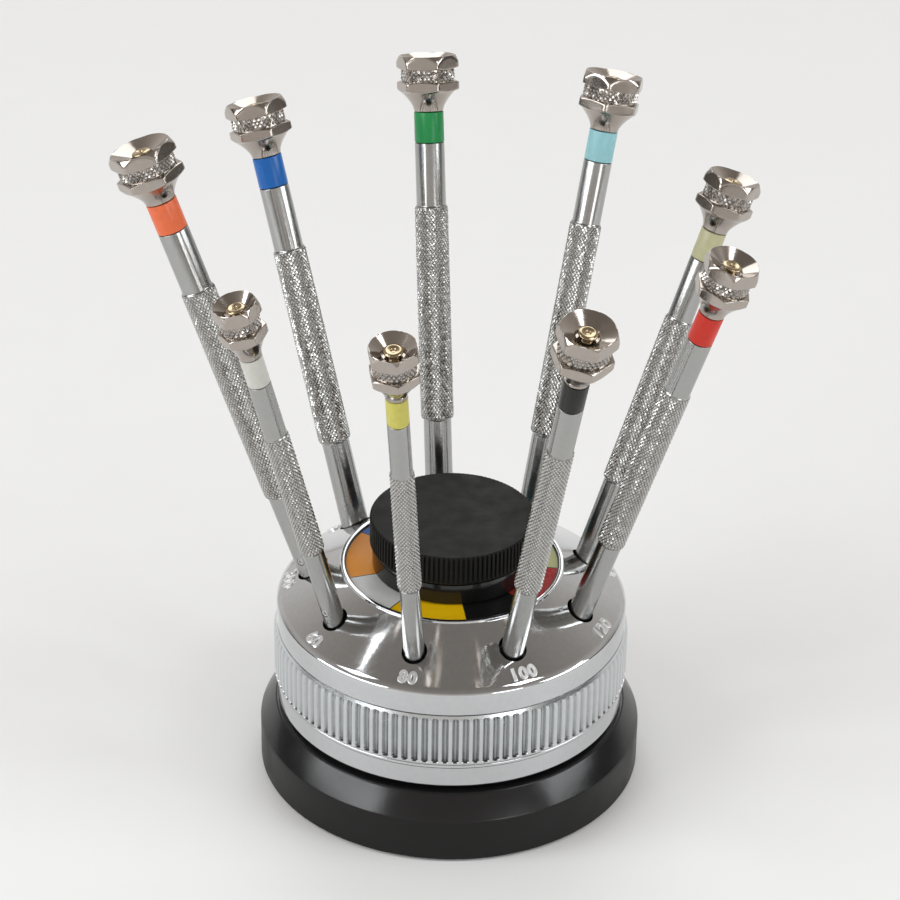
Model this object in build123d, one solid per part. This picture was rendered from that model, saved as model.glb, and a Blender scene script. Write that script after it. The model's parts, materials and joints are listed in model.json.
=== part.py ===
from build123d import *
import math
import os

os.makedirs("parts", exist_ok=True)

# All sizes are in millimetres and all angles in degrees. +Z is up.
# The origin is the centre of the stand's underside.

# Fits and gaps
moving_gap = 0.3
running_gap = 0.05
seat_gap = 0.02
socket_gap = 0.45

# Turning drum
drum_r = 34.5
mouth_circle_r = 27.6
rim_inset = 5.6
drum_lift = 0.4
base_height = 6.2
band_height = 11.2
shoulder_height = 5.6
cone_height = 7.2
shoulder_edge = 0.8
core_inset = 1.5
flute_count = 112
flute_depth = 0.45
flute_rise = 0.6
rim_width = 0.9
label_thickness = 0.4
label_sink = 0.4
label_seat = 2.0
pocket_floor_height = 3.4

# Foot
foot_flare = 3.5
foot_height = 14.0
foot_side_height = 9.2
foot_lip = 0.4
foot_edge = 0.7
foot_underside = 0.4
pad_inset = 3.0
pad_thickness = 1.2
ballast_inset = 8.0
ballast_thickness = 6.0

# Spindle and glide washer
spindle_r = 3.0
spindle_head_rise = 1.6
spindle_head_height = 2.6
spindle_thread_factor = 0.73
spindle_thread_length = 5.0
washer_inner_r = 8.0
washer_outer_r = 17.0
washer_thickness = 1.0

# Screws that hold the drum's base
base_screw_count = 3
base_screw_inset = 3.5
base_screw_r = 1.0
base_screw_head_r = 1.9
base_screw_head_height = 1.4
base_screw_grip = 4.0

# Magazine under the cap
magazine_height = 15.0
magazine_play = 0.2
tube_count = 9
tube_inset = 3.0
tube_r = 0.9
tube_floor_thickness = 0.6
spare_rise = 1.5

# Central cap
hub_inset = 6.3
hub_height = 4.2
hub_wall = 1.5
hub_lip = 3.2
hub_spigot_length = 4.2
hub_pin_r = 3.0
hub_pin_height = 3.0
cap_rise = 0.5
cap_height = 6.1
cap_rib_count = 108
cap_rib_depth = 0.4
cap_edge = 0.5

# One pitch of a ribbed ring: share of the pitch, share of the rib depth
rib_shape = ((0.0, 0.0), (0.45, 0.0), (0.62, 1.0), (0.83, 1.0))

# Sockets
nose_depth = 6.0
blade_room = 0.5
tip_room = 1.2
socket_floor_thickness = 1.0

# Sizes that follow from those above
foot_r = drum_r + foot_flare
foot_top_r = drum_r + foot_lip
pad_r = foot_r - pad_inset
ballast_r = foot_r - ballast_inset
drum_bottom = foot_height + drum_lift
band_bottom = drum_bottom + base_height
band_top = band_bottom + band_height
shoulder_top = band_top + shoulder_height
cone_top = shoulder_top + cone_height
rim_top = cone_top + label_sink
core_r = drum_r - core_inset
rim_outer_r = mouth_circle_r - rim_inset
rim_inner_r = rim_outer_r - rim_width
label_floor = cone_top - label_thickness
pocket_floor = band_bottom + pocket_floor_height
hub_r = rim_outer_r - hub_inset
pocket_r = hub_r - hub_lip
hub_bottom = cone_top + moving_gap
hub_top = hub_bottom + hub_height
cap_r = hub_r + cap_rise
cap_bottom = hub_top + moving_gap
spindle_head_r = spindle_r + spindle_head_rise
spindle_thread_r = spindle_r * spindle_thread_factor
spindle_head_bottom = pocket_floor + moving_gap
spindle_head_top = spindle_head_bottom + spindle_head_height
magazine_r = pocket_r - magazine_play
magazine_top = pocket_floor + magazine_height
tube_circle_r = magazine_r - tube_inset
tube_floor = spindle_head_top + moving_gap + tube_floor_thickness
base_screw_circle_r = core_r - base_screw_inset
cone_slope = cone_height / (drum_r - shoulder_edge - rim_outer_r)
mouth_height = cone_top - cone_slope * rim_inset
blade_drop = mouth_height - band_bottom - nose_depth - tip_room - socket_floor_thickness

# Screwdrivers
nose_factor = 0.95
grip_factor = 1.15
grip_bottom = 18.0
ring_length = 6.0
grip_drop = 30.3
ring_wall = 0.7
step_edge = 0.25
blade_seat = 5.0
flat_to_corner = math.cos(math.radians(30))
dish_depth = 1.6
dish_rim_factor = 0.91
dish_floor_r = 2.3
rim_edge_height = 1.4
waist_factor = 0.98
neck_share = 0.35
lower_flange_share = 0.19
waist_share = 0.22
flange_edge = 0.45
pivot_thread_r = 0.8
pivot_thread_length = 4.5
pivot_shoulder_r = 1.1
pivot_head_r = 1.85
pivot_head_height = 0.6
pivot_dimple_r = 0.5
set_screw_r = 0.75
set_screw_height = 3.2
set_screw_sink = 0.15
slot_width = 0.35
slot_depth = 0.4
tip_length = 3.0
tip_thickness_factor = 0.3
blade_margin = 0.3
blade_width_factor = 1.2

# Flare of a head's neck: share of the way out, share of the way up
neck_flare = ((0.09, 0.19), (0.31, 0.46), (0.66, 0.73), (1.0, 1.0))

# Size number: azimuth, outward lean, sideways lean, shaft diameter, head width over the corners,
# head height, reach above the socket's mouth, head turn, set screw turn
drivers = {
    "060": (215.1, 14.8, -2.2, 4.35, 9.3, 11.8, 76.2, 28.4, 20.0),
    "080": (255.1, 12.6, 0.1, 4.15, 9.9, 11.7, 77.3, 24.1, 150.0),
    "100": (295.1, 16.5, 0.6, 4.75, 11.6, 12.6, 84.8, 52.2, 80.0),
    "120": (335.1, 17.8, 1.6, 4.9, 11.0, 11.7, 85.4, 56.1, 200.0),
    "140": (15.1, 20.0, 3.7, 5.0, 11.5, 11.1, 83.7, 42.4, -80.0),
    "160": (55.1, 17.9, 1.0, 5.6, 13.0, 11.2, 91.9, 24.0, 40.0),
    "200": (95.1, 18.7, 0.7, 5.9, 12.8, 11.1, 91.4, 13.7, 120.0),
    "250": (135.1, 20.1, -1.0, 5.8, 12.7, 11.0, 88.2, 39.1, 260.0),
    "300": (175.1, 20.5, -3.5, 5.95, 13.4, 11.1, 93.5, 7.1, 70.0),
}


def save(node, *solids):
    shape = solids[0] if len(solids) == 1 else Compound(children=list(solids))
    export_step(shape, f"parts/{node}.step")


def rod(radius, bottom, top):
    return Pos(0, 0, bottom) * Cylinder(radius, top - bottom, align=(Align.CENTER, Align.CENTER, Align.MIN))


def turned(points):
    return revolve(make_face(Plane.XZ * Polyline(*points, close=True)), Axis.Z)


def ribbed_ring(peak_r, depth, count, bottom, top):
    points = []
    for i in range(count):
        for pitch_share, depth_share in rib_shape:
            radius = peak_r - depth * depth_share
            angle = 2 * math.pi * (i + pitch_share) / count
            points.append((radius * math.cos(angle), radius * math.sin(angle)))
    face = make_face(Polyline(*points, close=True))
    return Pos(0, 0, bottom) * extrude(face, top - bottom)


def slotted(screw, radius, top):
    slot = Pos(0, 0, top - slot_depth / 2) * Box(3 * radius, slot_width, slot_depth)
    return screw - slot


def lean_plane(azimuth, lean, sideways):
    turn = math.radians(azimuth)
    out = Vector(math.cos(turn), math.sin(turn), 0)
    side = Vector(-math.sin(turn), math.cos(turn), 0)
    outward = math.sin(math.radians(lean))
    across = math.sin(math.radians(sideways))
    up = math.sqrt(1 - outward**2 - across**2)
    axis = out * outward + side * across + Vector(0, 0, up)
    mouth = out * mouth_circle_r + Vector(0, 0, mouth_height)
    return Plane(origin=mouth, x_dir=side.cross(axis), z_dir=axis)


def make_foot():
    foot = turned([
        (0, foot_underside),
        (foot_r - foot_edge, foot_underside),
        (foot_r, foot_underside + foot_edge),
        (foot_r, foot_side_height - foot_edge / 2),
        (foot_r - foot_edge / 2, foot_side_height),
        (foot_top_r, foot_height),
        (0, foot_height),
    ])
    ballast_top = pad_thickness + ballast_thickness
    foot -= rod(pad_r, foot_underside, pad_thickness)
    foot -= rod(ballast_r, pad_thickness, ballast_top)
    washer_floor = drum_bottom - moving_gap - washer_thickness
    foot -= rod(washer_outer_r, washer_floor, foot_height) - rod(washer_inner_r, washer_floor, foot_height)
    foot -= rod(spindle_thread_r, foot_height - spindle_thread_length, foot_height)
    save("foot", foot)
    save("foot_pad", rod(pad_r - seat_gap, 0, pad_thickness))
    save("ballast_disc", rod(ballast_r - seat_gap, pad_thickness, ballast_top))
    washer = rod(washer_outer_r - running_gap, washer_floor, washer_floor + washer_thickness)
    washer -= rod(washer_inner_r + running_gap, washer_floor, washer_floor + washer_thickness)
    save("glide_washer", washer)


def make_spindle():
    screw = rod(spindle_thread_r - seat_gap, foot_height - spindle_thread_length, foot_height)
    screw += rod(spindle_r, foot_height, spindle_head_bottom)
    screw += rod(spindle_head_r, spindle_head_bottom, spindle_head_top)
    save("spindle_screw", slotted(screw, spindle_head_r, spindle_head_top))


def driver_size(entry):
    shaft_r = entry[3] / 2
    return shaft_r, shaft_r * nose_factor, shaft_r * grip_factor


def blade_size(number):
    width = int(number) / 100
    return width, max(width / 2 + blade_margin, width / 2 * blade_width_factor)


def socket_cutter(number):
    entry = drivers[number]
    nose_r = driver_size(entry)[1]
    blade_r = blade_size(number)[1]
    step = -nose_depth - moving_gap
    floor = -nose_depth - blade_drop - tip_room
    cutter = rod(nose_r + socket_gap, step, 3 * nose_r)
    cutter += rod(blade_r + blade_room, floor, step)
    return lean_plane(*entry[:3]) * cutter


def base_screw_places():
    return PolarLocations(base_screw_circle_r, base_screw_count, start_angle=drivers["200"][0] + 20)


def make_drum():
    drum = turned([
        (spindle_r + running_gap, band_bottom),
        (core_r, band_bottom),
        (core_r, band_top),
        (drum_r, band_top),
        (drum_r, shoulder_top - shoulder_edge),
        (drum_r - shoulder_edge, shoulder_top),
        (rim_outer_r, cone_top),
        (rim_outer_r, rim_top),
        (rim_inner_r, rim_top),
        (rim_inner_r, label_floor),
        (pocket_r, label_floor),
        (pocket_r, pocket_floor),
        (spindle_r + running_gap, pocket_floor),
    ])
    for number in drivers:
        drum -= socket_cutter(number)
    for place in base_screw_places():
        drum -= place * rod(base_screw_r, band_bottom, band_bottom + base_screw_grip)
    save("drum", drum)

    label = rod(rim_inner_r - seat_gap, label_floor, cone_top)
    label -= rod(pocket_r + label_seat, label_floor, cone_top)
    save("dial_label", label)

    band = ribbed_ring(drum_r + flute_rise, flute_depth, flute_count, band_bottom, band_top)
    save("grip_band", band - rod(core_r + seat_gap, band_bottom, band_top))

    head_floor = drum_bottom + base_screw_head_height
    base = turned([
        (spindle_r + running_gap, drum_bottom),
        (drum_r - step_edge, drum_bottom),
        (drum_r, drum_bottom + step_edge),
        (drum_r, band_bottom),
        (spindle_r + running_gap, band_bottom),
    ])
    screws = []
    for place in base_screw_places():
        base -= place * rod(base_screw_head_r + seat_gap, drum_bottom, head_floor)
        base -= place * rod(base_screw_r + seat_gap, head_floor, band_bottom)
        screw = rod(base_screw_head_r, drum_bottom + seat_gap, head_floor)
        screw += rod(base_screw_r - seat_gap, head_floor, band_bottom + base_screw_grip)
        slot_top = drum_bottom + seat_gap + slot_depth
        screws.append(place * slotted(screw, base_screw_head_r, slot_top))
    save("drum_base", base)
    save("base_screws", *screws)


def make_magazine():
    recess_r = spindle_head_r + moving_gap
    recess_top = spindle_head_top + moving_gap
    magazine = rod(magazine_r, pocket_floor, magazine_top)
    magazine -= rod(recess_r, pocket_floor, recess_top)
    spares = []
    places = PolarLocations(tube_circle_r, tube_count)
    spare_r = tube_r - running_gap
    for place in places:
        magazine -= place * rod(tube_r, tube_floor, magazine_top)
        spares.append(place * make_blade(2 * spare_r, spare_r, tube_floor, magazine_top + spare_rise))
    save("magazine", magazine)
    save("spare_blades", *spares)


def make_cap():
    spigot_r = pocket_r - moving_gap
    hub = rod(hub_r, hub_bottom, hub_top)
    hub += rod(spigot_r, hub_bottom - hub_spigot_length, hub_bottom)
    hub -= rod(spigot_r - hub_wall, hub_bottom - hub_spigot_length, hub_top - hub_wall)
    hub += rod(hub_pin_r, hub_top, hub_top + hub_pin_height)
    save("cap_hub", hub)

    cap_top = cap_bottom + cap_height
    cap = ribbed_ring(cap_r, cap_rib_depth, cap_rib_count, cap_bottom, cap_top)
    cap &= turned([
        (0, cap_bottom),
        (cap_r - cap_edge, cap_bottom),
        (cap_r, cap_bottom + cap_edge),
        (cap_r, cap_top - cap_edge),
        (cap_r - cap_edge, cap_top),
        (0, cap_top),
    ])
    pin_room_top = hub_top + hub_pin_height + moving_gap
    save("selector_cap", cap - rod(hub_pin_r + running_gap, cap_bottom, pin_room_top))


def make_blade(width, shank_r, bottom, top):
    thickness = 2 * shank_r * tip_thickness_factor
    half = Polyline(
        (-thickness / 2, bottom),
        (thickness / 2, bottom),
        (shank_r, bottom + tip_length),
        (shank_r, top),
        (-shank_r, top),
        (-shank_r, bottom + tip_length),
        close=True,
    )
    wedge = extrude(make_face(Plane.XZ * half), shank_r, both=True)
    sides = turned([
        (0, bottom),
        (width / 2, bottom),
        (width / 2, bottom + tip_length / 2),
        (shank_r, bottom + tip_length),
        (shank_r, top),
        (0, top),
    ])
    return wedge & sides


def make_handle(shaft_r, nose_r, grip_r, blade_r, grip_top, ring_top, screw_turn):
    ring_bottom = ring_top - ring_length
    spigot_r = shaft_r - ring_wall
    handle = turned([
        (0, -nose_depth),
        (nose_r - step_edge, -nose_depth),
        (nose_r, -nose_depth + step_edge),
        (nose_r, grip_bottom - step_edge),
        (grip_r, grip_bottom),
        (grip_r, grip_top),
        (shaft_r, grip_top + step_edge),
        (shaft_r, ring_bottom),
        (spigot_r, ring_bottom),
        (spigot_r, ring_top),
        (0, ring_top),
    ])
    handle -= rod(blade_r + seat_gap, -nose_depth, blade_seat)
    handle -= rod(pivot_thread_r, ring_top - pivot_thread_length, ring_top)
    hole = Rot(0, 90, 0) * rod(set_screw_r, 0, 2 * nose_r)
    return handle - Pos(0, 0, set_screw_height) * Rot(0, 0, screw_turn) * hole


def make_set_screw(nose_r, blade_r, screw_turn):
    screw_top = nose_r - set_screw_sink
    screw = slotted(rod(set_screw_r - seat_gap, blade_r, screw_top), set_screw_r, screw_top)
    return Pos(0, 0, set_screw_height) * Rot(0, 0, screw_turn) * Rot(0, 90, 0) * screw


def make_pivot_screw(ring_top, head_top):
    head_bottom = head_top - dish_depth + moving_gap
    top = head_bottom + pivot_head_height
    screw = rod(pivot_thread_r - seat_gap, ring_top - pivot_thread_length, ring_top)
    screw += rod(pivot_shoulder_r, ring_top, head_bottom)
    screw += rod(pivot_head_r, head_bottom, top)
    return screw - rod(pivot_dimple_r, top - slot_depth, top)


def make_swivel_head(shaft_r, corner_r, ring_top, head_top, head_turn):
    bottom = ring_top + moving_gap
    height = head_top - bottom
    waist_r = corner_r * flat_to_corner * waist_factor
    lower_bottom = bottom + neck_share * height
    waist_bottom = lower_bottom + lower_flange_share * height
    waist_top = waist_bottom + waist_share * height
    neck = [(shaft_r, bottom)]
    for out_share, up_share in neck_flare:
        radius = shaft_r + out_share * (corner_r * flat_to_corner - shaft_r)
        neck.append((radius, bottom + up_share * (lower_bottom - bottom)))
    profile = [(0, bottom)] + neck + [
        (corner_r, lower_bottom + flange_edge),
        (corner_r, waist_bottom - flange_edge),
        (waist_r, waist_bottom),
        (waist_r, waist_top),
        (corner_r, waist_top + flange_edge),
        (corner_r, head_top - rim_edge_height),
        (corner_r * dish_rim_factor, head_top),
        (dish_floor_r, head_top - dish_depth),
        (0, head_top - dish_depth),
    ]
    hexagon = extrude(RegularPolygon(corner_r, 6, rotation=head_turn), height)
    head = turned(profile) & (Pos(0, 0, bottom) * hexagon)
    return head - rod(pivot_shoulder_r + running_gap, bottom, head_top)


def make_driver(number):
    entry = drivers[number]
    head_width, head_height, head_top, head_turn, screw_turn = entry[4:]
    shaft_r, nose_r, grip_r = driver_size(entry)
    width, blade_r = blade_size(number)
    place = lean_plane(*entry[:3])
    ring_top = head_top - head_height - moving_gap
    ring_bottom = ring_top - ring_length
    handle = make_handle(shaft_r, nose_r, grip_r, blade_r, head_top - grip_drop, ring_top, screw_turn)
    ring = rod(shaft_r, ring_bottom, ring_top) - rod(shaft_r - ring_wall + seat_gap, ring_bottom, ring_top)
    head = make_swivel_head(shaft_r, head_width / 2, ring_top, head_top, head_turn)
    pivot_screw = make_pivot_screw(ring_top, head_top)
    set_screw = make_set_screw(nose_r, blade_r, screw_turn)
    blade = make_blade(width, blade_r, -nose_depth - blade_drop, blade_seat)
    save(f"handle_{number}", place * handle)
    save(f"colour_ring_{number}", place * ring)
    save(f"swivel_head_{number}", place * head)
    save(f"screws_{number}", place * pivot_screw, place * set_screw)
    save(f"blade_{number}", place * blade)


make_foot()
make_spindle()
make_drum()
make_magazine()
make_cap()
for number in drivers:
    make_driver(number)
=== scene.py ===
import json
import math

import bpy
import numpy as np
from mathutils import Matrix, Vector


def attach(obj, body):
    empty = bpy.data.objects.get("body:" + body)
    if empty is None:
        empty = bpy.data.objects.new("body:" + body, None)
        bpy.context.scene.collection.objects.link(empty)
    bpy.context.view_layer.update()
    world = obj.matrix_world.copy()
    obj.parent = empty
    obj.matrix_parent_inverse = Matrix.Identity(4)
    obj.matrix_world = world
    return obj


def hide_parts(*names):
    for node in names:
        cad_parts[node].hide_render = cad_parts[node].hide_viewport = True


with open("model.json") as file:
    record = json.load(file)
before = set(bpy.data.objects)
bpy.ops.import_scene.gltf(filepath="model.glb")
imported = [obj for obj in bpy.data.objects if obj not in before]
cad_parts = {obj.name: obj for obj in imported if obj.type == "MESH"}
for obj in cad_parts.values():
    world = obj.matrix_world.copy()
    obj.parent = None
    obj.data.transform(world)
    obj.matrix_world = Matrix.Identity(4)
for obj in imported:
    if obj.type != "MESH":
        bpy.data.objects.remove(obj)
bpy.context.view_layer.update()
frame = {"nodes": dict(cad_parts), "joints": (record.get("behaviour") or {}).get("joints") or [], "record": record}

# Shapes are drawn in millimetres and placed in metres. Angles are in degrees.
mm = 0.001
nodes = frame["nodes"]
sizes = ["060", "080", "100", "120", "140", "160", "200", "250", "300"]

# Stand
foot_r, foot_side_height, foot_height, foot_underside = 38.0, 9.2, 14.0, 0.4
foot_top_r, pad_r = 34.9, 35.0
drum_r, core_r = 34.5, 33.0
drum_bottom, band_bottom, band_top = 14.4, 20.6, 31.8
shoulder_top, cone_top, rim_top = 37.4, 44.6, 45.0
shoulder_edge, rim_outer_r, rim_width = 0.8, 22.0, 0.9
cone_slope = math.atan2(cone_top - shoulder_top, drum_r - shoulder_edge - rim_outer_r)
label_thickness = 0.4
pocket_r, pocket_floor = 12.5, 24.0
flute_count, flute_r, flute_depth, flute_width = 112, 35.1, 0.75, 1.05
socket_gap, nose_depth, blade_gap = 0.45, 6.0, 0.5
mouth_edge = 0.12
number_circle_r, digit_height, digit_rise = 32.3, 2.45, 0.20
capital_share, digit_bevel, digit_spacing = 0.72, 0.09, 1.12
label_play, sector_line, label_overlap = 0.05, 0.26, 2.0
foot_well_r, foot_well_floor, spindle_hole_r = 17.0, 13.1, 2.9
drum_hole_r, skirt_lip = 3.1, 0.35

# Central cap
hub_r, hub_top, hub_wall, hub_spigot, hub_pin_r = 15.7, 49.1, 1.5, 4.2, 2.9
cap_r, cap_top, cap_ribs, cap_rib_depth = 16.2, 55.5, 108, 0.4
moving_gap = 0.3

# Screwdrivers
nose_factor = 0.95
knurl_depth, knurl_pitch, knurl_stretch = 0.2, 0.72, 1.35
waist_knurl_depth, waist_knurl_pitch = 0.32, 0.95
neck_share, lower_flange_share, waist_share, waist_factor = 0.35, 0.19, 0.22, 0.98
dish_depth, dish_floor_r, dish_rim_factor, rim_edge_height = 1.6, 2.3, 0.875, 1.4
pin_r, pin_height, pin_neck_r, pin_neck_length = 1.85, 0.6, 1.1, 3.0
dish_hole_r, dish_well_depth = 1.15, 0.6
ring_wall, ring_gap, ring_reach = 0.5, 0.12, 0.15
set_hole_r, set_screw_r = 0.78, 0.70
flat_to_corner = math.cos(math.radians(30))

colours = {
    "060": ("ring_060", (0.56, 0.56, 0.52), (0.62, 0.63, 0.62)),
    "080": ("ring_080", (0.54, 0.50, 0.11), (0.78, 0.47, 0.004)),
    "100": ("ring_100", (0.018, 0.018, 0.015), (0.008, 0.008, 0.008)),
    "120": ("ring_120", (0.56, 0.034, 0.020), (0.42, 0.030, 0.030)),
    "140": ("ring_140", (0.45, 0.44, 0.27), (0.54, 0.55, 0.28)),
    "160": ("ring_160", (0.27, 0.52, 0.56), (0.28, 0.56, 0.66)),
    "200": ("ring_200", (0.018, 0.25, 0.070), (0.020, 0.24, 0.060)),
    "250": ("ring_250", (0.012, 0.12, 0.42), (0.012, 0.10, 0.40)),
    "300": ("ring_300", (0.72, 0.15, 0.060), (0.74, 0.27, 0.020)),
}

label_sectors = {
    "060": (197.5, 235), "080": (235, 278), "100": (278, 315), "120": (315, 355), "140": (355, 395),
    "160": (35, 75), "200": (75, 112), "250": (112, 150), "300": (150, 197.5),
}

# Studio, in metres: where each softbox stands, its width, height and power in watts
softboxes = [
    ((-0.83, -0.39, 0.42), 0.85, 0.32, 5.2),
    ((0.87, -0.21, 0.42), 0.55, 0.32, 3.0),
    ((-0.58, -0.10, 0.80), 0.22, 0.26, 1.0),
    ((0.49, -0.25, 0.83), 0.24, 0.22, 1.0),
    ((0.52, -0.76, 0.22), 0.30, 0.20, 0.8),
    ((0.0, 1.0, 1.05), 0.9, 1.0, 6.4),
]
softbox_colour = (0.95, 0.98, 1.0)
softbox_aim = Vector((0, 0, 0.05))
# Brightness of the surroundings from the horizon, 0, to straight up, 1, and how warm the dark part is
sky_levels = [(0.0, 0.68), (0.25, 0.66), (0.5, 0.50), (0.72, 0.34), (0.88, 0.26), (1.0, 0.24)]
sky_warmth = 0.12
side_wall_colour = (0.12, 0.118, 0.114, 1)
floor_half_width, floor_half_length, floor_drop = 1.55, 3.0, 0.0001
camera_eye, camera_aim = Vector((-0.00465, -0.5594, 0.4024)), Vector((-0.0005, 0.0339, 0.0500))
camera_roll, camera_lens, camera_sensor = 0.0164, 135.0, 36.0


# --- Materials ---------------------------------------------------------------

def surface(name, colour, metallic, roughness, spread=0.08, tint=0.06, grain=900.0, bump=0.02, groove_shade=0.0,
            specular=0.5):
    """A finish whose colour, roughness and height all vary over the surface. It can also paint shade into hollows:
    its shade strength darkens the colour where the mesh's per-point shade attribute is high.
    """
    material = bpy.data.materials.new(name)
    material.use_nodes = True
    tree = material.node_tree
    shader = tree.nodes["Principled BSDF"]
    shader.inputs["Metallic"].default_value = metallic
    shader.inputs["Specular IOR Level"].default_value = specular
    where = tree.nodes.new("ShaderNodeTexCoord")

    cloud = tree.nodes.new("ShaderNodeTexNoise")
    cloud.inputs["Scale"].default_value = grain * 0.12
    cloud.inputs["Detail"].default_value = 5.0
    tree.links.new(where.outputs["Object"], cloud.inputs["Vector"])

    fine = tree.nodes.new("ShaderNodeTexNoise")
    fine.inputs["Scale"].default_value = grain
    fine.inputs["Detail"].default_value = 3.0
    tree.links.new(where.outputs["Object"], fine.inputs["Vector"])

    rough = tree.nodes.new("ShaderNodeMapRange")
    rough.inputs["From Min"].default_value = 0.3
    rough.inputs["From Max"].default_value = 0.7
    rough.inputs["To Min"].default_value = max(0.02, roughness - spread)
    rough.inputs["To Max"].default_value = roughness + spread
    tree.links.new(cloud.outputs["Fac"], rough.inputs["Value"])
    tree.links.new(rough.outputs["Result"], shader.inputs["Roughness"])

    shade = tree.nodes.new("ShaderNodeMix")
    shade.data_type = "RGBA"
    shade.inputs["A"].default_value = tuple(c * (1 - tint) for c in colour) + (1,)
    shade.inputs["B"].default_value = tuple(min(1.0, c * (1 + tint)) for c in colour) + (1,)
    tree.links.new(fine.outputs["Fac"], shade.inputs["Factor"])
    tone = shade.outputs["Result"]
    # Painted shade: mixes the colour towards a much darker copy of itself where the per-point shade attribute is
    # high.
    if groove_shade:
        mask = tree.nodes.new("ShaderNodeAttribute")
        mask.attribute_name = "groove_shade"
        scaled = tree.nodes.new("ShaderNodeMath")
        scaled.operation = "MULTIPLY"
        scaled.inputs[1].default_value = groove_shade
        tree.links.new(mask.outputs["Fac"], scaled.inputs[0])
        painted_shade = tree.nodes.new("ShaderNodeMix")
        painted_shade.data_type = "RGBA"
        painted_shade.inputs["B"].default_value = tuple(c * 0.18 for c in colour) + (1,)
        tree.links.new(scaled.outputs["Value"], painted_shade.inputs["Factor"])
        tree.links.new(tone, painted_shade.inputs["A"])
        tone = painted_shade.outputs["Result"]
    tree.links.new(tone, shader.inputs["Base Color"])

    height = tree.nodes.new("ShaderNodeBump")
    height.inputs["Strength"].default_value = bump
    height.inputs["Distance"].default_value = 0.0002
    tree.links.new(fine.outputs["Fac"], height.inputs["Height"])
    tree.links.new(height.outputs["Normal"], shader.inputs["Normal"])
    return material


chrome = surface("chrome_plate", (0.60, 0.61, 0.62), 1.0, 0.08, spread=0.04, bump=0.03)
number_chrome = surface("number_chrome", (0.86, 0.87, 0.88), 1.0, 0.34, spread=0.06, bump=0.10)
# The fluted and knurled finishes paint shade into their hollows.
band_chrome = surface("fluted_chrome", (0.62, 0.64, 0.65), 1.0, 0.20, spread=0.08, bump=0.08, groove_shade=0.85)
shaft_chrome = surface("shaft_chrome", (0.40, 0.40, 0.39), 1.0, 0.22, spread=0.06, bump=0.05)
knurl_chrome = surface("knurled_chrome", (0.78, 0.77, 0.74), 1.0, 0.26, spread=0.08, bump=0.08, groove_shade=0.85)
nickel = surface("nickel_plate", (0.44, 0.395, 0.355), 1.0, 0.15, spread=0.07, bump=0.05)
knurl_nickel = surface("knurled_nickel", (0.62, 0.58, 0.54), 1.0, 0.24, spread=0.08, bump=0.08, groove_shade=0.9)
brass = surface("brass", (0.50, 0.40, 0.26), 1.0, 0.22, spread=0.08, bump=0.08)
steel = surface("ground_steel", (0.50, 0.50, 0.50), 1.0, 0.28, spread=0.10, bump=0.08)
foot_plastic = surface("foot_plastic", (0.0075, 0.0070, 0.0075), 0.0, 0.22, spread=0.06, bump=0.06,
                       specular=0.40)
foot_side = surface("foot_side_plastic", (0.0085, 0.0080, 0.0078), 0.0, 0.42, spread=0.08, bump=0.10,
                    specular=0.24)
# The cap's finish paints shade between its ribs.
cap_plastic = surface("cap_plastic", (0.0095, 0.0098, 0.0080), 0.0, 0.55, spread=0.08, grain=2600.0,
                      bump=0.35, groove_shade=0.8, specular=0.16)
hub_plastic = surface("hub_plastic", (0.008, 0.008, 0.008), 0.0, 0.12, spread=0.05, bump=0.03)
grey_plastic = surface("grey_plastic", (0.10, 0.10, 0.10), 0.0, 0.45, bump=0.10)
white_plastic = surface("white_plastic", (0.70, 0.70, 0.67), 0.0, 0.40, bump=0.08)
rubber = surface("rubber", (0.016, 0.016, 0.016), 0.0, 0.80, bump=0.30)
iron = surface("cast_iron", (0.14, 0.14, 0.14), 1.0, 0.55, bump=0.30)
ink = surface("black_ink", (0.012, 0.012, 0.012), 0.0, 0.30, bump=0.02)
ring_paint = {}
label_paint = {}
for size in sizes:
    ring_paint[size] = surface(f"ring_paint_{size}", colours[size][1], 0.0, 0.28, tint=0.10, bump=0.06,
                               specular=0.3)
    label_paint[size] = surface(f"label_paint_{size}", colours[size][2], 0.0, 0.30, tint=0.05, bump=0.02,
                                specular=0.12)


# --- Shapes ------------------------------------------------------------------

class Shape:
    """Points and faces in millimetres, gathered from several parts before they become one mesh."""

    def __init__(self):
        self.points = []
        self.faces = []
        self.kinds = []
        self.grooves = []

    def add(self, points, faces, kind=0, grooves=None):
        start = len(self.points)
        self.points.extend(tuple(p) for p in points)
        self.faces.extend(tuple(start + i for i in face) for face in faces)
        self.kinds.extend([kind] * len(faces))
        self.grooves.extend([0.0] * len(points) if grooves is None else list(grooves))
        return self

    def piece(self, name, place, materials, angle=35):
        mesh = bpy.data.meshes.new(name)
        mesh.from_pydata([tuple(mm * c for c in p) for p in self.points], [], self.faces)
        for material in materials:
            mesh.materials.append(material)
        mesh.polygons.foreach_set("material_index", self.kinds)
        # Each point's strength of the shade painted into hollows, read by the finishes.
        mask = mesh.attributes.new("groove_shade", "FLOAT", "POINT")
        mask.data.foreach_set("value", self.grooves)
        mesh.validate()
        mesh.shade_smooth()
        mesh.set_sharp_from_angle(angle=math.radians(angle))
        obj = bpy.data.objects.new(name, mesh)
        bpy.context.scene.collection.objects.link(obj)
        obj.matrix_world = place
        return obj


def ring_faces(rows, columns):
    faces = []
    for i in range(rows - 1):
        for j in range(columns):
            k = (j + 1) % columns
            faces.append((i * columns + j, i * columns + k, (i + 1) * columns + k, (i + 1) * columns + j))
    return faces


def around(columns):
    return np.arange(columns) * 2 * math.pi / columns


def rings(radii, heights, columns):
    """Rings of points. radii and heights hold one number, or one number per column, for each ring."""
    angles = around(columns)
    points = []
    for radius, height in zip(radii, heights):
        r = np.broadcast_to(radius, angles.shape)
        z = np.broadcast_to(height, angles.shape)
        points.extend(zip(r * np.cos(angles), r * np.sin(angles), z))
    return points


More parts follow.
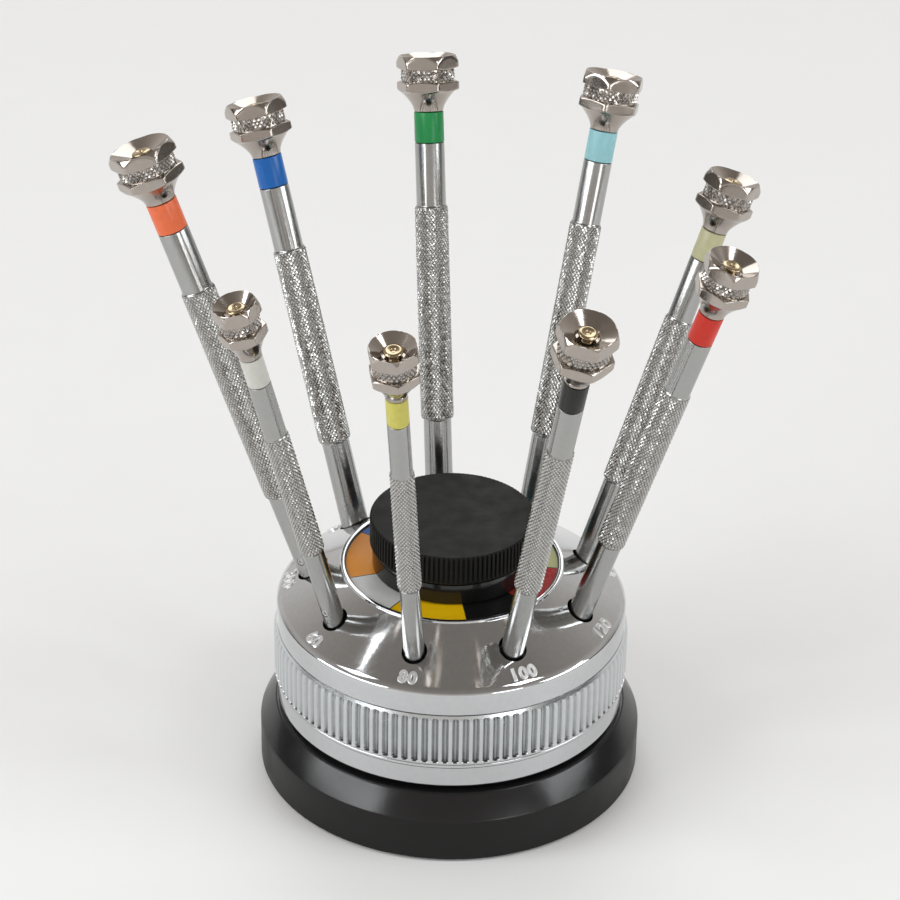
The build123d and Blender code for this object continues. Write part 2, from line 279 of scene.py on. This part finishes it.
def soften(profile, size, steps=4):
    """Rounds the corners of an open profile of (radius, height) points."""
    points = [Vector(p) for p in profile]
    result = [points[0]]
    for before, corner, after in zip(points, points[1:], points[2:]):
        reach = min(size, (before - corner).length * 0.45, (after - corner).length * 0.45)
        start = corner + (before - corner).normalized() * reach
        end = corner + (after - corner).normalized() * reach
        for i in range(steps + 1):
            t = i / steps
            result.append(start * (1 - t) ** 2 + corner * (2 * t * (1 - t)) + end * t**2)
    result.append(points[-1])
    return [tuple(p) for p in result]


def lathe(shape, profile, columns, kind=0, cap_first=False, cap_last=False):
    """A turned shape. cap_first and cap_last close its first and last ring with a flat face."""
    points = rings([p[0] for p in profile], [p[1] for p in profile], columns)
    faces = ring_faces(len(profile), columns)
    last = (len(profile) - 1) * columns
    if cap_first:
        faces.append(tuple(reversed(range(columns))))
    if cap_last:
        faces.append(tuple(range(last, last + columns)))
    return shape.add(points, faces, kind)


def knurl(shape, radius, low, high, pitch, depth, kind):
    """A sleeve of pointed, slightly uneven diamonds between two heights, with shade painted into its hollows."""
    uneven = np.random.default_rng(round(1000 * radius))
    columns = 2 * round(2 * math.pi * radius / pitch)
    rows = max(4, round((high - low) / (pitch * knurl_stretch / 2))) + 1
    radii, heights, grooves = [], [], []
    for i in range(rows):
        odd = (np.arange(columns) + i) % 2
        if i in (0, rows - 1):
            odd = np.ones(columns)
        hollow = odd * uneven.uniform(0.8, 1.0, columns)
        wear = 0.3 * uneven.uniform(0, 1, columns)
        radii.append(radius - depth * (hollow + wear))
        heights.append(low + (high - low) * i / (rows - 1))
        # Painted shade at full strength on the hollow points and the end rings.
        grooves.extend(odd)
    faces = []
    for i in range(rows - 1):
        for j in range(columns):
            k = (j + 1) % columns
            a, b, c, d = i * columns + j, i * columns + k, (i + 1) * columns + k, (i + 1) * columns + j
            if (i + j) % 2 == 0:
                faces += [(a, b, d), (b, c, d)]
            else:
                faces += [(a, b, c), (a, c, d)]
    return shape.add(rings(radii, heights, columns), faces, kind, grooves)


def show(obj, body, *replaced, slot):
    """Makes a piece ride on a body and stand for the CAD nodes it replaces, which it hides. Its slot is not used.
    """
    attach(obj, body)
    if replaced:
        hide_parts(*replaced)
    return obj


def cut(obj, cutters):
    """Takes the cutters out of obj."""
    for cutter in cutters:
        step = obj.modifiers.new("cut", "BOOLEAN")
        step.operation = "DIFFERENCE"
        step.solver = "EXACT"
        step.object = cutter
    bpy.context.view_layer.update()
    done = bpy.data.meshes.new_from_object(obj.evaluated_get(bpy.context.evaluated_depsgraph_get()))
    obj.modifiers.clear()
    obj.data = done
    for cutter in cutters:
        bpy.data.objects.remove(cutter)
    done.shade_smooth()
    done.set_sharp_from_angle(angle=math.radians(30))
    return obj


# --- Where each driver stands -------------------------------------------------

def node_points(node):
    mesh = nodes[node].data
    points = np.empty(len(mesh.vertices) * 3, np.float32)
    mesh.vertices.foreach_get("co", points)
    return points.reshape(-1, 3).astype(float)


def driver_place(size):
    """Turns the driver's own frame, with its axis along Z and a head corner along X, into the row frame."""
    joint = next(j for j in frame["joints"] if j["name"] == f"head_{size}_spin")
    origin, axis = Vector(joint["pos_m"]), Vector(joint["axis"]).normalized()
    points = node_points(f"swivel_head_{size}") - np.array(origin)
    flat = points - np.outer(points @ np.array(axis), np.array(axis))
    corner = Vector(flat[np.argmax(np.linalg.norm(flat, axis=1))]).normalized()
    side = axis.cross(corner).normalized()
    turn = Matrix((corner, side, axis)).transposed().to_4x4()
    return Matrix.Translation(origin) @ turn


def local_size(node, place):
    """Radii and heights of a node's points about the driver's axis, in millimetres."""
    inverse = np.array(place.inverted())
    points = node_points(node) @ inverse[:3, :3].T + inverse[:3, 3]
    return np.hypot(points[:, 0], points[:, 1]) / mm, points[:, 2] / mm


# --- Drivers -------------------------------------------------------------------

def head_shape(shaft_r, corner_r, bottom, top):
    """Hexagonal flanges and a dish, cut from a turned outline by six flats."""
    columns = 144
    flat_r = corner_r * flat_to_corner
    height = top - bottom
    neck_top = bottom + neck_share * height
    waist_bottom = neck_top + lower_flange_share * height
    waist_top = waist_bottom + waist_share * height
    waist_r = flat_r * waist_factor
    floor_r = waist_r - waist_knurl_depth
    rim_r = corner_r * dish_rim_factor
    beyond = corner_r * 1.03
    outline = [(shaft_r - 0.12, bottom), (shaft_r - 0.02, bottom + 0.12)]
    neck_start, neck_end_r = bottom + 0.25, flat_r * 0.97
    for t in np.linspace(0.0, 1.0, 12):
        outline.append((shaft_r + (neck_end_r - shaft_r) * t**1.5, neck_start + (neck_top - neck_start) * t))
    outline += [
        (beyond, neck_top + 0.55),
        (beyond, waist_bottom - 0.35),
        (waist_r + 0.1, waist_bottom),
        (floor_r, waist_bottom + 0.05),
        (floor_r, waist_top - 0.05),
        (waist_r + 0.1, waist_top),
        (beyond, waist_top + 0.35),
        (beyond, top - rim_edge_height * 1.15),
        (rim_r, top - 0.05),
    ]
    dense = [outline[0]]
    for start, end in zip(outline, outline[1:]):
        steps = max(1, math.ceil(math.dist(start, end) / 0.16))
        start, run = np.array(start), np.array(end) - np.array(start)
        dense += [tuple(start + run * i / steps) for i in range(1, steps + 1)]
    angles = around(columns)
    sharpness = 60.0
    flats = sum(np.abs(np.cos(angles - math.radians(30 + 60 * k))) ** sharpness for k in range(3))
    radii = [flat_r * (flats + (flat_r / r) ** sharpness) ** (-1 / sharpness) for r, _ in dense]
    heights = [z for _, z in dense]
    slope = dish_depth / (rim_r - dish_floor_r)
    rim = radii[-1] - 0.08
    for t in np.linspace(0.0, 1.0, 14):
        ring = rim + (dish_floor_r - rim) * t
        radii.append(ring)
        heights.append(top - slope * (rim_r - 0.08 - ring))
    well_floor = top - dish_depth - dish_well_depth
    radii += [dish_floor_r - 0.12, dish_floor_r - 0.2, dish_hole_r]
    heights += [top - dish_depth - 0.04, well_floor, well_floor]
    shape = Shape().add(rings(radii, heights, columns), ring_faces(len(radii), columns))
    return knurl(shape, waist_r, waist_bottom, waist_top, waist_knurl_pitch, waist_knurl_depth, 1)


def pivot_shape(top):
    """A round head with a bevel and a small cone in its middle, on a plain neck."""
    low = top - pin_height
    profile = [(pin_neck_r, low - pin_neck_length), (pin_neck_r, low), (pin_r, low), (pin_r, top - 0.25),
               (1.3, top), (0.5, top - 0.2), (0.4, top - 0.5)]
    return lathe(Shape(), soften(profile, 0.18), 48, cap_last=True)


def make_driver(size):
    """One screwdriver's pieces, sized from its CAD nodes. Returns what its socket needs."""
    place = driver_place(size)
    body = f"driver_{size}"
    ring_radii, ring_heights = local_size(f"colour_ring_{size}", place)
    shaft_r, ring_bottom, ring_top = ring_radii.max(), ring_heights.min(), ring_heights.max()
    handle_radii, handle_heights = local_size(f"handle_{size}", place)
    grip_r, nose_end = handle_radii.max(), handle_heights.min()
    on_grip = handle_heights[handle_radii > grip_r - 0.02]
    grip_bottom, grip_top = on_grip.min(), on_grip.max()
    head_radii, head_heights = local_size(f"swivel_head_{size}", place)
    nose_r = shaft_r * nose_factor
    groove_r = grip_r - knurl_depth

    handle = Shape()
    upper = [(groove_r, grip_top - 0.15), (groove_r, grip_top), (shaft_r, grip_top + 0.3),
             (shaft_r, ring_bottom), (shaft_r - ring_wall, ring_bottom)]
    lathe(handle, soften(upper, 0.12), 96)
    knurl(handle, grip_r, grip_bottom, grip_top, knurl_pitch, knurl_depth, 1)
    piece = handle.piece(f"grip_{size}", place, [shaft_chrome, knurl_chrome])
    show(piece, body, f"handle_{size}", slot="chrome")

    lower = [(0.6, nose_end), (nose_r, nose_end), (nose_r, grip_bottom - 0.3), (groove_r, grip_bottom),
             (groove_r, grip_bottom + 0.15)]
    nose = lathe(Shape(), soften(lower, 0.2), 96, cap_first=True, cap_last=True)
    nose = nose.piece(f"nose_{size}", place, [shaft_chrome])
    inverse = np.array(place.inverted())
    spots = node_points(f"screws_{size}") @ inverse[:3, :3].T + inverse[:3, 3]
    spots = spots[spots[:, 2] / mm < grip_bottom] / mm
    middle = Vector(spots.mean(axis=0))
    turn = math.atan2(middle.y, middle.x)
    outward = Matrix.Rotation(turn, 4, "Z") @ Matrix.Rotation(math.pi / 2, 4, "Y")
    aim = place @ Matrix.Translation((0, 0, middle.z * mm)) @ outward
    screw_bottom = 0.4 * nose_r
    hole = [(set_hole_r, screw_bottom), (set_hole_r, nose_r + 1)]
    hole = lathe(Shape(), hole, 32, cap_first=True, cap_last=True)
    cut(nose, [hole.piece(f"hole_{size}", aim, [])])
    show(nose, body, slot="chrome")
    screw_top = np.hypot(spots[:, 0], spots[:, 1]).max() - 0.05
    bolt = [(set_screw_r, screw_bottom), (set_screw_r, screw_top), (0.36, screw_top),
            (0.30, screw_top - 0.3)]
    bolt = lathe(Shape(), soften(bolt, 0.08), 32, cap_last=True)
    show(bolt.piece(f"set_screw_{size}", aim, [steel]), body, slot="steel")

    inner_r, low, high = shaft_r - ring_wall, ring_bottom + ring_gap, ring_top + ring_reach
    ring = [(inner_r, low), (shaft_r, low), (shaft_r, high), (inner_r, high)]
    sleeve = lathe(Shape(), soften(ring, 0.15), 96)
    show(sleeve.piece(f"sleeve_{size}", place, [ring_paint[size]]), body, f"colour_ring_{size}",
         slot=colours[size][0])

    head = head_shape(shaft_r, head_radii.max(), head_heights.min(), head_heights.max())
    head = head.piece(f"finger_head_{size}", place, [nickel, knurl_nickel])
    show(head, f"head_{size}", f"swivel_head_{size}", slot="nickel")

    pin = pivot_shape(local_size(f"screws_{size}", place)[1].max())
    show(pin.piece(f"pivot_pin_{size}", place, [brass]), body, f"screws_{size}", slot="brass")
    return nose_r, place, nose_end


# --- Stand -----------------------------------------------------------------------

def make_foot():
    """The foot's shell. Its side is duller than its bevel."""
    profile = [(pad_r, foot_underside + 0.8), (pad_r, foot_underside), (foot_r, foot_underside),
               (foot_r, foot_side_height), (foot_top_r, foot_height), (foot_well_r, foot_height),
               (foot_well_r, foot_well_floor), (spindle_hole_r, foot_well_floor)]
    rows = soften(profile, 0.3, 5)
    shape = lathe(Shape(), rows, 256)
    edge = next(i for i, p in enumerate(rows) if p[1] > foot_side_height)
    for i in range(edge * 256):
        shape.kinds[i] = 1
    shell = shape.piece("foot_shell", Matrix(), [foot_plastic, foot_side])
    show(shell, "base", "foot", slot="black_foot")


def make_drum(sockets):
    """The drum's cone, rim and pocket, bored along each driver's own axis."""
    label_floor = cone_top - label_thickness
    rim_inner_r = rim_outer_r - rim_width
    side = soften([(drum_hole_r, band_bottom), (core_r, band_bottom), (core_r, band_top), (drum_r, band_top),
                   (drum_r, shoulder_top - shoulder_edge), (drum_r - shoulder_edge, shoulder_top),
                   (rim_outer_r, cone_top)], 0.4, 6)[:-1]
    crown = soften([side[-1], (rim_outer_r, cone_top), (rim_outer_r, rim_top), (rim_inner_r, rim_top),
                    (rim_inner_r, label_floor), (pocket_r, label_floor), (pocket_r, pocket_floor),
                    (drum_hole_r, pocket_floor)], 0.18, 4)[1:]
    profile = side + crown + [side[0]]
    drum = lathe(Shape(), profile, 360).piece("drum_shell", Matrix(), [chrome])
    cutters = []
    for size, (nose_r, place, nose_end) in sockets.items():
        blade_radii, blade_heights = local_size(f"blade_{size}", place)
        blade_hole_r = blade_radii.max() + blade_gap
        hole_r = nose_r + socket_gap
        depth = nose_end + nose_depth
        profile = [(blade_hole_r, blade_heights.min() - blade_gap), (blade_hole_r, nose_end - 0.3),
                   (hole_r, nose_end - 0.3), (hole_r, depth - 0.35), (hole_r + mouth_edge, depth + 0.6),
                   (hole_r + mouth_edge, depth + 6)]
        bore = lathe(Shape(), profile, 72, cap_first=True, cap_last=True)
        cutters.append(bore.piece(f"bore_{size}", place, []))
    cut(drum, cutters)
    show(drum, "turntable", "drum", slot="chrome")


def make_drum_base():
    lip_r = drum_r + skirt_lip
    profile = [(drum_hole_r, drum_bottom), (drum_r - 1.2, drum_bottom), (drum_r, drum_bottom + 1.0),
               (drum_r, band_bottom - 0.9), (lip_r, band_bottom - 0.7), (lip_r, band_bottom),
               (drum_hole_r, band_bottom)]
    shape = lathe(Shape(), soften(profile, 0.5, 5), 360)
    show(shape.piece("drum_skirt", Matrix(), [chrome]), "turntable", "drum_base", slot="chrome")


def make_grip_band():
    """A band of round-ended upright flutes, with shade painted into them."""
    per_flute = 12
    columns = flute_count * per_flute
    pitch = 2 * math.pi * flute_r / flute_count
    across = ((np.arange(columns) % per_flute) / per_flute - 0.5) * pitch
    half = flute_width / 2
    low, high = band_bottom + 0.6, band_top - 0.5
    middle, straight = (low + high) / 2, (high - low - half) / 2
    ends = list(np.linspace(0, half / 2, 7))
    heights = [low + e for e in ends] + list(np.linspace(low + half / 2, high - half / 2, 10))[1:-1]
    heights += [high - e for e in ends[::-1]]
    heights = [band_bottom, band_bottom + 0.25] + heights + [band_top - 0.2, band_top]
    radii, grooves = [], []
    for z in heights:
        beyond = max(0.0, abs(z - middle) - straight)
        inside = np.clip(1 - (across**2 + (2 * beyond)**2) / half**2, 0, 1)
        depth = np.sqrt(inside)
        blend = min(1.0, (band_top - z) / 1.2)
        edge = drum_r + 0.03 + (flute_r - drum_r - 0.03) * blend - (0.25 if z == band_bottom else 0.0)
        radii.append(edge - flute_depth * depth)
        # Painted shade, strongest where a flute is deepest and twice as strong at its ends, fading over 3 mm from
        # the bottom and 0.9 mm from the top.
        painted_shade = max(1.0 - (z - low) / 3.0, 1.0 - (high - z) / 0.9, 0.0)
        grooves.extend(depth * (0.5 + 0.5 * painted_shade))
    radii = [np.full(columns, core_r)] + radii + [np.full(columns, core_r)]
    heights = [band_bottom] + heights + [band_top]
    grooves = [0.0] * columns + grooves + [0.0] * columns
    shape = Shape().add(rings(radii, heights, columns), ring_faces(len(radii), columns), 0, grooves)
    band = shape.piece("fluted_band", Matrix(), [band_chrome], angle=50)
    show(band, "turntable", "grip_band", slot="chrome")


def socket_azimuth(socket):
    """Direction of the middle of a socket's mouth, seen from above."""
    _, place, nose_end = socket
    mouth = place @ Vector((0, 0, (nose_end + nose_depth) * mm))
    return math.atan2(mouth.y, mouth.x)


def make_label():
    """Nine colour sectors on a black ground that shows as thin lines between them."""
    floor = cone_top - label_thickness
    outer, inner = rim_outer_r - rim_width - label_play, pocket_r + label_overlap
    ground = cone_top - 0.03
    shape = Shape()
    lathe(shape, [(inner, floor), (outer, floor), (outer, ground), (inner, ground), (inner, floor)], 256)
    for index, size in enumerate(sizes):
        start, end = (math.radians(angle) for angle in label_sectors[size])
        rows = []
        for radius in (inner, outer - sector_line):
            trim = sector_line / 2 / radius
            rows.append([(radius * math.cos(angle), radius * math.sin(angle), cone_top)
                         for angle in np.linspace(start + trim, end - trim, 25)])
        points = rows[0] + rows[1]
        faces = [(i, 25 + i, 26 + i, i + 1) for i in range(24)]
        shape.add(points, faces, index + 1)
    paints = [ink] + [label_paint[size] for size in sizes]
    show(shape.piece("colour_label", Matrix(), paints), "turntable", "dial_label", slot="label")


def make_numbers(sockets):
    """Raised size numbers wrapped on the cone, read from outside."""
    for size in sizes:
        text = bpy.data.curves.new(f"digits_{size}", "FONT")
        text.body = str(int(size))
        text.size = digit_height / capital_share
        text.align_x = "CENTER"
        text.align_y = "CENTER"
        text.space_character = digit_spacing
        text.extrude = digit_rise
        text.bevel_depth = digit_bevel
        text.bevel_resolution = 2
        text.offset = digit_bevel
        text.resolution_u = 4
        source = bpy.data.objects.new(f"digits_{size}", text)
        bpy.context.scene.collection.objects.link(source)
        bpy.context.view_layer.update()
        mesh = bpy.data.meshes.new_from_object(source.evaluated_get(bpy.context.evaluated_depsgraph_get()))
        bpy.data.objects.remove(source)
        azimuth = socket_azimuth(sockets[size])
        for vertex in mesh.vertices:
            x, y, z = vertex.co
            on_cone = number_circle_r - y * math.cos(cone_slope)
            radius = on_cone + z * math.sin(cone_slope)
            height = cone_top - (on_cone - rim_outer_r) * math.tan(cone_slope) + z * math.cos(cone_slope)
            angle = azimuth + x / number_circle_r
            vertex.co = Vector((radius * math.cos(angle), radius * math.sin(angle), height)) * mm
        mesh.materials.clear()
        mesh.materials.append(number_chrome)
        mesh.shade_smooth()
        mesh.set_sharp_from_angle(angle=math.radians(40))
        obj = bpy.data.objects.new(f"size_number_{int(size)}", mesh)
        bpy.context.scene.collection.objects.link(obj)
        show(obj, "turntable", slot="chrome")


def make_cap():
    """The collar that sits in the drum's pocket, and the ribbed cap on it, with shade painted into the hollows
    between its ribs.
    """
    bottom, spigot_r = cone_top + moving_gap, pocket_r - moving_gap
    spigot_bottom, inner_r, ceiling = bottom - hub_spigot, spigot_r - hub_wall, hub_top - hub_wall
    outside = [(inner_r, spigot_bottom), (spigot_r, spigot_bottom), (spigot_r, bottom), (hub_r, bottom),
               (hub_r, hub_top), (hub_pin_r, hub_top), (hub_pin_r, hub_top + 2.0)]
    hub = lathe(Shape(), soften(outside, 0.1), 192)
    inside = [(inner_r, spigot_bottom), (inner_r, ceiling), (0.5, ceiling)]
    lathe(hub, soften(inside, 0.4), 96, cap_last=True)
    show(hub.piece("cap_collar", Matrix(), [hub_plastic]), "cap_collar", "cap_hub", slot="black_hub")

    low = hub_top + moving_gap
    per_rib = 8
    columns = cap_ribs * per_rib
    phase = (np.arange(columns) % per_rib) / per_rib
    dip = np.clip(np.sin(phase * 2 * math.pi) * 1.2 + 0.1, 0, 1)
    radii, heights, grooves = [], [], []
    # Height, inset of the outline there, and share of the full rib depth, which also sets the strength of the
    # shade painted into the rib hollows
    levels = [(low, 0.4, 0.0), (low + 0.2, 0.15, 0.0), (low + 0.5, 0.0, 0.4), (low + 1.0, 0.0, 1.0),
              (cap_top - 1.1, 0.0, 1.0), (cap_top - 0.45, 0.0, 0.9), (cap_top - 0.2, 0.12, 0.5),
              (cap_top, 0.5, 0.0)]
    for z, inset, share in levels:
        radii.append(cap_r - inset - cap_rib_depth * dip * share)
        heights.append(z)
        # Painted shade in the rib hollows, in step with their depth.
        grooves.extend(dip * share)
    cap = Shape().add(rings(radii, heights, columns), ring_faces(len(radii), columns), 0, grooves)
    lathe(cap, [(cap_r - 0.5, cap_top), (cap_r - 0.9, cap_top)], columns, cap_last=True)
    lathe(cap, [(drum_hole_r, low + 3.0), (drum_hole_r, low), (cap_r - 0.4, low)], 96)
    show(cap.piece("ribbed_cap", Matrix(), [cap_plastic]), "cap", "selector_cap", slot="black_cap")


def dress_hidden_nodes():
    """The CAD nodes that stay get their finish from the record's slot."""
    finishes = {"pad_rubber": rubber, "ballast_iron": iron, "washer_plastic": white_plastic, "steel": steel,
                "magazine_plastic": grey_plastic}
    for entry in frame["record"]["subparts"]:
        finish = finishes.get(entry["material_slot"])
        if finish:
            obj = nodes[entry["node"]]
            obj.data.materials.clear()
            obj.data.materials.append(finish)


# --- Studio ------------------------------------------------------------------------

def smooth_step(tree, value, start, end):
    """A node output that goes from 0 to 1 as value goes from start to end."""
    step = tree.nodes.new("ShaderNodeMapRange")
    step.interpolation_type = "SMOOTHSTEP"
    step.inputs["From Min"].default_value = start
    step.inputs["From Max"].default_value = end
    tree.links.new(value, step.inputs["Value"])
    return step.outputs["Result"]


def make_floor():
    x, y, z = floor_half_width, floor_half_length, -floor_drop
    floor = bpy.data.meshes.new("floor")
    floor.from_pydata([(-x, -y, z), (x, -y, z), (x, y, z), (-x, y, z)], [], [(0, 1, 2, 3)])
    floor.materials.append(surface("floor_paper", (0.86, 0.86, 0.86), 0.0, 0.7, tint=0.01, grain=60.0,
                                   bump=0.01, specular=0.1))
    paper = bpy.data.objects.new("floor", floor)
    bpy.context.scene.collection.objects.link(paper)


def make_surroundings():
    """Pale surroundings that darken overhead, with darker walls far off to the left and right."""
    world = bpy.data.worlds.new("studio")
    bpy.context.scene.world = world
    world.use_nodes = True
    tree = world.node_tree
    background = tree.nodes["Background"]
    background.inputs["Strength"].default_value = 1.0
    where = tree.nodes.new("ShaderNodeTexCoord")
    split = tree.nodes.new("ShaderNodeSeparateXYZ")
    tree.links.new(where.outputs["Generated"], split.inputs["Vector"])

    ramp = tree.nodes.new("ShaderNodeValToRGB")
    stops = ramp.color_ramp.elements
    stops[0].position = sky_levels[0][0]
    stops[-1].position = sky_levels[-1][0]
    for position, _ in sky_levels[1:-1]:
        stops.new(position)
    for stop, (_, level) in zip(stops, sky_levels):
        warm = 1.0 - sky_warmth * (1 - level)
        stop.color = (level, level * warm, level * warm * warm, 1)
    tree.links.new(split.outputs["Z"], ramp.inputs["Fac"])

    sideways = tree.nodes.new("ShaderNodeMath")
    sideways.operation = "ABSOLUTE"
    tree.links.new(split.outputs["X"], sideways.inputs[0])
    share = tree.nodes.new("ShaderNodeMath")
    share.operation = "MULTIPLY"
    tree.links.new(smooth_step(tree, sideways.outputs["Value"], 0.70, 0.92), share.inputs[0])
    tree.links.new(smooth_step(tree, split.outputs["Z"], 0.45, 0.15), share.inputs[1])
    walls = tree.nodes.new("ShaderNodeMix")
    walls.data_type = "RGBA"
    walls.inputs["B"].default_value = side_wall_colour
    tree.links.new(share.outputs["Value"], walls.inputs["Factor"])
    tree.links.new(ramp.outputs["Color"], walls.inputs["A"])
    tree.links.new(walls.outputs["Result"], background.inputs["Color"])


def make_lights():
    for index, (spot, width, height, power) in enumerate(softboxes):
        lamp = bpy.data.lights.new(f"softbox_{index}", "AREA")
        lamp.shape = "RECTANGLE"
        lamp.size = width
        lamp.size_y = height
        lamp.energy = power
        lamp.color = softbox_colour
        obj = bpy.data.objects.new(f"softbox_{index}", lamp)
        bpy.context.scene.collection.objects.link(obj)
        obj.location = spot
        obj.rotation_euler = (softbox_aim - Vector(spot)).to_track_quat("-Z", "Y").to_euler()


def make_camera():
    forward = (camera_aim - camera_eye).normalized()
    level = forward.cross(Vector((0, 0, 1))).normalized()
    up = level.cross(forward)
    right = level * math.cos(camera_roll) + up * math.sin(camera_roll)
    up = right.cross(forward)
    lens = bpy.data.cameras.new("camera")
    lens.lens = camera_lens
    lens.sensor_width = camera_sensor
    lens.clip_start = 0.01
    camera = bpy.data.objects.new("camera", lens)
    bpy.context.scene.collection.objects.link(camera)
    turn = Matrix((right, up, -forward)).transposed().to_4x4()
    camera.matrix_world = Matrix.Translation(camera_eye) @ turn
    bpy.context.scene.camera = camera


dress_hidden_nodes()
sockets = {size: make_driver(size) for size in sizes}
make_foot()
make_drum(sockets)
make_drum_base()
make_grip_band()
make_label()
make_numbers(sockets)
make_cap()
make_floor()
make_surroundings()
make_lights()
make_camera()
bpy.context.scene.view_settings.view_transform = "Standard"
